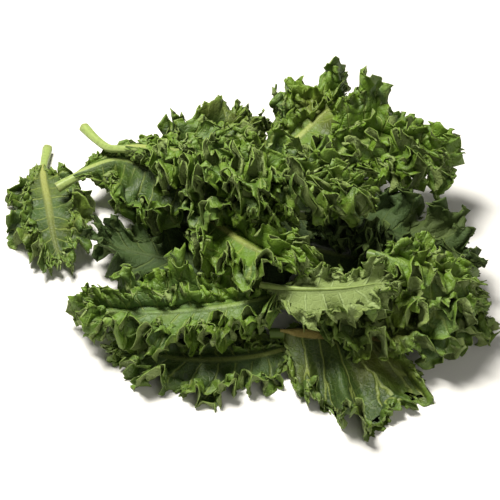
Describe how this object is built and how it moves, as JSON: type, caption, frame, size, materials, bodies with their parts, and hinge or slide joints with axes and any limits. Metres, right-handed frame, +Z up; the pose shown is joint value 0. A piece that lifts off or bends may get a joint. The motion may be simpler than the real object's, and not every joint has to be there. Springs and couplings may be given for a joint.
{
  "type": "kale bunch",
  "caption": "Loose heap of curly kale leaves lying on a surface, each a frilled green blade on a pale stalk, with cut stalk ends at one side.",
  "frame": {"origin": "middle of the heap's bounding box, on the surface that it lies on", "axes": "+X from the side of the cut stalk ends to the leaf tips at the right, -Y towards the viewer, +Z up from the surface"},
  "size_m": [0.4364, 0.3626, 0.144],
  "materials": {
    "leaf_blade": "waxy, slightly glossy deep green with paler veins and margins",
    "leaf_underside": "dull pale grey-green",
    "leaf_stalk": "smooth, slightly glossy pale yellow-green"
  },
  "bodies": {
    "root": {"under_leaf_blade": "leaf_blade", "under_leaf_stalk": "leaf_stalk", "front_low_leaf_blade": "leaf_blade", "front_low_leaf_stalk": "leaf_stalk", "front_leaf_blade": "leaf_blade", "front_leaf_stalk": "leaf_stalk", "left_leaf_blade": "leaf_blade", "left_leaf_stalk": "leaf_stalk", "under_left_leaf_blade": "leaf_blade", "under_left_leaf_stalk": "leaf_stalk", "under_right_leaf_blade": "leaf_blade", "under_right_leaf_stalk": "leaf_stalk", "front_right_leaf_blade": "leaf_blade", "front_right_leaf_stalk": "leaf_stalk", "front_left_leaf_blade": "leaf_blade", "front_left_leaf_stalk": "leaf_stalk", "right_leaf_blade": "leaf_blade", "right_leaf_stalk": "leaf_stalk", "right_low_leaf_blade": "leaf_blade", "right_low_leaf_stalk": "leaf_stalk", "pale_leaf_blade": "leaf_underside", "pale_leaf_stalk": "leaf_stalk", "centre_leaf_blade": "leaf_blade", "centre_leaf_stalk": "leaf_stalk", "back_left_leaf_blade": "leaf_blade", "back_left_leaf_stalk": "leaf_stalk", "middle_leaf_blade": "leaf_blade", "middle_leaf_stalk": "leaf_stalk", "back_leaf_blade": "leaf_blade", "back_leaf_stalk": "leaf_stalk", "right_back_leaf_blade": "leaf_blade", "right_back_leaf_stalk": "leaf_stalk", "ridge_leaf_blade": "leaf_blade", "ridge_leaf_stalk": "leaf_stalk"}
  },
  "joints": []
}
